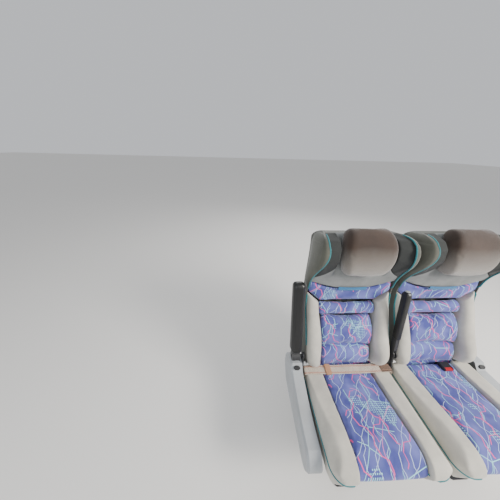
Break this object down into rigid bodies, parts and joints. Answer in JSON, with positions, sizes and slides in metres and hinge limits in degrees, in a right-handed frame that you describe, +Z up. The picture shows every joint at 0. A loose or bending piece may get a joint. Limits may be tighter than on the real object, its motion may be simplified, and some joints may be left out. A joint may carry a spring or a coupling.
{
  "type": "double coach passenger seat",
  "caption": "Reclining pair of coach seats on pedestal legs, with winged head parts, channelled backs and folding armrests.",
  "frame": {"origin": "on the floor, at the middle of the four floor bolt holes", "axes": "+X from the aisle seat to the window seat, -Y the way the passengers face, +Z up"},
  "size_m": [1.1053, 0.7224, 1.1662],
  "materials": {
    "shell": "moulded, fine grain",
    "frame": "black powder coat",
    "velour": "grey velour",
    "pillow": "brown-grey ribbed velour",
    "tab": "teal-blue woven tab",
    "moquette": "navy moquette with thin pink and pale lines",
    "cover": "light grey moulded",
    "arm_steel": "dark grey moulded",
    "arm_skin": "soft black skin",
    "trim": "black moulded",
    "net": "black elastic net",
    "webbing": "beige lap belt webbing with orange edge lines",
    "dark_webbing": "black webbing",
    "buckle": "black moulded",
    "red_button": "red moulded"
  },
  "bodies": {
    "base": {"cushion_aisle": "velour", "seat_pan_aisle": "frame", "leg_aisle": "frame", "side_cover_aisle": "cover", "cushion_panel_aisle": "moquette", "recline_button_aisle": "trim", "cushion_window": "velour", "seat_pan_window": "frame", "leg_window": "frame", "side_cover_window": "cover", "cushion_panel_window": "moquette", "recline_button_window": "trim", "lap_belt_aisle": "webbing", "belt_adjuster_aisle": "buckle", "buckle_strap_window": "dark_webbing", "buckle_window": "buckle", "buckle_button_window": "red_button", "cross_tube_front": "frame", "cross_tube_rear": "frame", "bracket_aisle": "frame", "bracket_centre": "frame", "bracket_window": "frame"},
    "back_aisle": {"back_shell_aisle": "shell", "back_frame_aisle": "frame", "headrest_aisle": "velour", "pillow_aisle": "pillow", "head_tab_aisle": "tab", "back_pan_aisle": "frame", "pocket_frame_aisle": "trim", "pocket_net_aisle": "net", "pad_upper_aisle": "moquette", "pad_lumbar_aisle": "moquette", "pad_mid_aisle": "moquette", "pad_low_aisle": "moquette", "bolster_left_aisle": "velour", "bolster_right_aisle": "velour"},
    "back_window": {"back_shell_window": "shell", "back_frame_window": "frame", "headrest_window": "velour", "pillow_window": "pillow", "head_tab_window": "tab", "back_pan_window": "frame", "pocket_frame_window": "trim", "pocket_net_window": "net", "pad_upper_window": "moquette", "pad_lumbar_window": "moquette", "pad_mid_window": "moquette", "pad_low_window": "moquette", "bolster_left_window": "velour", "bolster_right_window": "velour"},
    "armrest_aisle": {"arm_core_aisle": "arm_steel", "arm_pad_aisle": "arm_skin"},
    "armrest_centre": {"arm_core_centre": "arm_steel", "arm_pad_centre": "arm_skin"}
  },
  "joints": [
    {"name": "recline_aisle", "type": "hinge", "parent": "base", "child": "back_aisle", "pos_m": [-0.243, 0.195, 0.3953], "axis": [-1, 0, 0], "range_deg": [0, 22]},
    {"name": "recline_window", "type": "hinge", "parent": "base", "child": "back_window", "pos_m": [0.243, 0.195, 0.3953], "axis": [-1, 0, 0], "range_deg": [0, 22]},
    {"name": "armrest_aisle", "type": "hinge", "parent": "base", "child": "armrest_aisle", "pos_m": [-0.526, 0.146, 0.5063], "axis": [1, 0, 0], "range_deg": [0, 104]},
    {"name": "armrest_centre", "type": "hinge", "parent": "base", "child": "armrest_centre", "pos_m": [0, 0.144, 0.5063], "axis": [1, 0, 0], "range_deg": [0, 98]}
  ]
}
